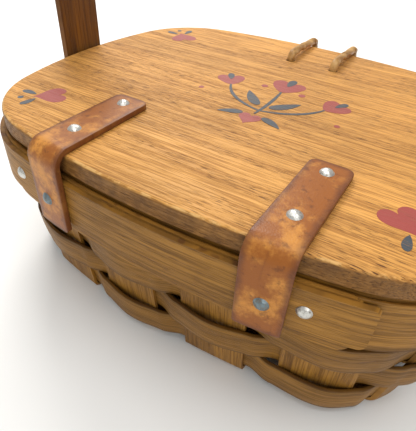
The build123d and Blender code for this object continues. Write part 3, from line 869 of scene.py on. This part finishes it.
def loopRoute():
    # Down one leg, round the bottom and up the other leg
    front = laceSettings["frontY"]
    leg, top, bottom, steps = (loopSettings[label] for label in ("leg", "top", "bottom", "steps"))
    low = bottom + leg
    route = [Vector((-leg, front, top - k * (top - low) / steps)) for k in range(steps)]
    route += [Vector((-leg * math.cos(k * math.pi / steps), front, low - leg * math.sin(k * math.pi / steps)))
              for k in range(steps + 1)]
    return route + [Vector((leg, front, low + k * (top - low) / steps)) for k in range(1, steps + 1)]


def addKnuckle(side):
    # A round stub out from the top of a leg, under the lace's end
    s = loopSettings
    inner, outer = s["leg"] - s["width"] / 2, s["knuckleEnd"]
    bpy.ops.mesh.primitive_cylinder_add(vertices=s["knuckleSides"], radius=s["thickness"] / 2 * mm,
                                        depth=(outer - inner) * mm, rotation=(0, math.pi / 2, 0),
                                        location=(side * (outer + inner) / 2 * mm,
                                                  laceSettings["frontY"] * mm, s["top"] * mm))
    knuckle = bpy.context.object
    applyModifier(knuckle, "BEVEL", width=s["knuckleBevel"] * mm, segments=2, limit_method="ANGLE")
    return knuckle


def addLoop():
    s = loopSettings
    strand = addStrand("closureLoop", loopRoute(), s["thickness"], s["width"], (0, 1, 0), 0)
    loop = joinAll([strand, addKnuckle(-1), addKnuckle(1)], "closureLoop")
    settle(loop, "laceLeather", "loop")
    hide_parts("closure_loop")


addLace("laceRight", -1, "lace_right")
addLace("laceLeft", 1, "lace_left")
addLoop()
print("laces and loop made")

# Painted ornament: common folk hearts in the corners, and a sprig of tulips of this part's own design

paintSettings = {"level": 130.0, "thickness": 0.08, "over": 0.004}
cornerSettings = {"places": ((122.0, 84.0), (-113.0, 82.0), (125.0, -79.0), (-118.0, -80.0)),
                  "heartSize": 12.5, "dotReach": 20.5, "dotRadius": 2.0, "strokeReach": 20.0,
                  "strokeApart": 11.0, "stroke": (12.0, 5.2, 0.18), "strokeTurn": 0.5}  # length, width, curl
sprigSettings = {
    "middle": (-3.0, 24.0), "stemWidth": 2.6, "headLean": 0.5,
    "petalTilt": 0.42, "petalWidth": 0.52, "innerLength": 0.62, "innerWidth": 0.26, "innerRise": 0.52,
    "tulips": ({"lean": 0, "foot": (0, 0), "bend": (2.5, 22), "head": (0, 44), "petal": 23},
               {"lean": -1, "foot": (0, 6), "bend": (-27.75, 11.9), "head": (-37, 34), "petal": 19},
               {"lean": 1, "foot": (0, 6), "bend": (27.75, 11.9), "head": (37, 34), "petal": 19}),
    "leaves": ({"shape": (24, 8.5, 0.22), "foot": (4, 14), "turn": 0.95},  # shape: length, width, curl
               {"shape": (17, 6.5, -0.25), "foot": (7, -3), "turn": 1.75}),
    "dots": ({"radius": 2.6, "place": (15, 47)}, {"radius": 2.0, "place": (52, 16)}),
    "heartSize": 8.5, "heartPlace": (0, -8)}
outlineSettings = {"heartSteps": 72, "commaSteps": 40, "petalSteps": 40, "dotSteps": 28, "stemSteps": 24,
                   "heartNarrow": 0.92, "commaTaper": 0.35, "commaFull": 1.15, "petalFuller": 0.35,
                   "stemEnds": 0.55, "stemBelly": 0.45}
red, blue = [], []


def paintShape(strokes, points):
    # A thin slab of paint on the lid, kept with the others of its colour
    bpy.ops.mesh.primitive_circle_add(vertices=len(points), radius=1, fill_type="NGON")
    shape = bpy.context.object
    for vertex, (x, y) in zip(shape.data.vertices, points):
        vertex.co = Vector((x, y, paintSettings["level"])) * mm
    bpy.ops.object.mode_set(mode="EDIT")
    bpy.ops.mesh.select_all(action="SELECT")
    upwards = (0, 0, paintSettings["thickness"] * mm)
    bpy.ops.mesh.extrude_region_move(TRANSFORM_OT_translate={"value": upwards})
    bpy.ops.object.mode_set(mode="OBJECT")
    clearSelection()
    strokes.append(shape)


def placed(points, middle, angle=0.0):
    c, t = math.cos(angle), math.sin(angle)
    return [(middle[0] + x * c - y * t, middle[1] + x * t + y * c) for x, y in points]


def turnsRound(count):
    return [2 * math.pi * k / count for k in range(count)]


def heartPoints(size):
    # The usual heart curve, narrowed; its tip lies along -Y
    return [(size * math.sin(t) ** 3 * outlineSettings["heartNarrow"],
             size / 16 * (13 * math.cos(t) - 5 * math.cos(2 * t) - 2 * math.cos(3 * t) - math.cos(4 * t)))
            for t in turnsRound(outlineSettings["heartSteps"])]


def commaPoints(length, width, curl):
    # A brush stroke: round at the head, drawn out to a curled tail along +X
    s, points = outlineSettings, []
    for t in turnsRound(s["commaSteps"]):
        u = (1 - math.cos(t)) / 2
        half = width / 2 * math.sin(t) * (1 - u) ** s["commaTaper"] * s["commaFull"]
        points.append((u * length, half + curl * length * u ** 2))
    return points


def roundPoints(radius):
    return [(radius * math.cos(t), radius * math.sin(t)) for t in turnsRound(outlineSettings["dotSteps"])]


def petalPoints(length, width):
    # A petal along +Y from its foot, fuller towards its end
    s = outlineSettings
    return [(width / 2 * math.sin(t) * (1 - s["petalFuller"] * math.cos(t)), length / 2 * (1 - math.cos(t)))
            for t in turnsRound(s["petalSteps"])]


def stemPoints(start, middle, end, width):
    # A curve drawn by three control places, thinner at its ends
    s, line, count = outlineSettings, [], outlineSettings["stemSteps"]
    for k in range(count):
        t = k / (count - 1)
        line.append([start[i] * (1 - t) ** 2 + middle[i] * 2 * t * (1 - t) + end[i] * t ** 2 for i in (0, 1)])
    left, right = [], []
    for k, (x, y) in enumerate(line):
        ahead, behind = line[min(k + 1, count - 1)], line[max(k - 1, 0)]
        dx, dy = ahead[0] - behind[0], ahead[1] - behind[1]
        size = math.hypot(dx, dy)
        half = width / 2 * (s["stemEnds"] + s["stemBelly"] * math.sin(math.pi * k / (count - 1)))
        left.append((x - dy / size * half, y + dx / size * half))
        right.append((x + dy / size * half, y - dx / size * half))
    return left + right[::-1]


def paintCorner(x, y):
    # A heart whose tip points outwards, with a dot and two brush strokes beyond it
    s = cornerSettings
    outward = math.atan2(math.copysign(1, y), math.copysign(1, x))
    c, t = math.cos(outward), math.sin(outward)
    paintShape(red, placed(heartPoints(s["heartSize"]), (x, y), outward + math.pi / 2))
    paintShape(blue, placed(roundPoints(s["dotRadius"]), (x + s["dotReach"] * c, y + s["dotReach"] * t)))
    length, width, curl = s["stroke"]
    for hand in (-1, 1):
        away = outward + hand * math.pi / 2
        head = (x + s["strokeReach"] * c + s["strokeApart"] * math.cos(away),
                y + s["strokeReach"] * t + s["strokeApart"] * math.sin(away))
        paintShape(blue, placed(commaPoints(length, width, curl * hand), head,
                                outward + math.pi + hand * s["strokeTurn"]))


def paintOnSprig(strokes, points):
    # Drawn upright, then turned so that it reads from the hinge side
    middleX, middleY = sprigSettings["middle"]
    paintShape(strokes, [(middleX - x, middleY - y) for x, y in points])


def paintTulip(lean, foot, bend, head, petal):
    s = sprigSettings
    turn = -lean * s["headLean"]
    paintOnSprig(blue, stemPoints(foot, bend, head, s["stemWidth"]))
    for tilt in (s["petalTilt"], -s["petalTilt"]):
        paintOnSprig(red, placed(petalPoints(petal, petal * s["petalWidth"]), head, turn + tilt))
    rise = petal * s["innerRise"]
    inner = (head[0] - math.sin(turn) * rise, head[1] + math.cos(turn) * rise)
    paintOnSprig(blue, placed(petalPoints(petal * s["innerLength"], petal * s["innerWidth"]), inner, turn))


def paintSprig():
    s = sprigSettings
    for tulip in s["tulips"]:
        paintTulip(**tulip)
    for lean in (-1, 1):
        for leaf in s["leaves"]:
            (length, width, curl), (footX, footY) = leaf["shape"], leaf["foot"]
            paintOnSprig(blue, placed(commaPoints(length, width, curl * lean), (footX * lean, footY),
                                      math.pi / 2 - lean * leaf["turn"]))
        for dot in s["dots"]:
            dotX, dotY = dot["place"]
            paintOnSprig(red, placed(roundPoints(dot["radius"]), (dotX * lean, dotY)))
    paintOnSprig(red, placed(heartPoints(s["heartSize"]), s["heartPlace"]))


def liftStrokes(strokes):
    # Each stroke lies a little over the one before it
    halfway = (paintSettings["level"] + paintSettings["thickness"] / 2) * mm
    for number, shape in enumerate(strokes):
        for vertex in shape.data.vertices:
            if vertex.co.z > halfway:
                vertex.co.z += number * paintSettings["over"] * mm


for place in cornerSettings["places"]:
    paintCorner(*place)
paintSprig()
liftStrokes(red + blue)
settle(joinAll(red, "redOrnament"), "redPaint", "lid")
settle(joinAll(blue, "blueOrnament"), "bluePaint", "lid")
print("ornament painted")
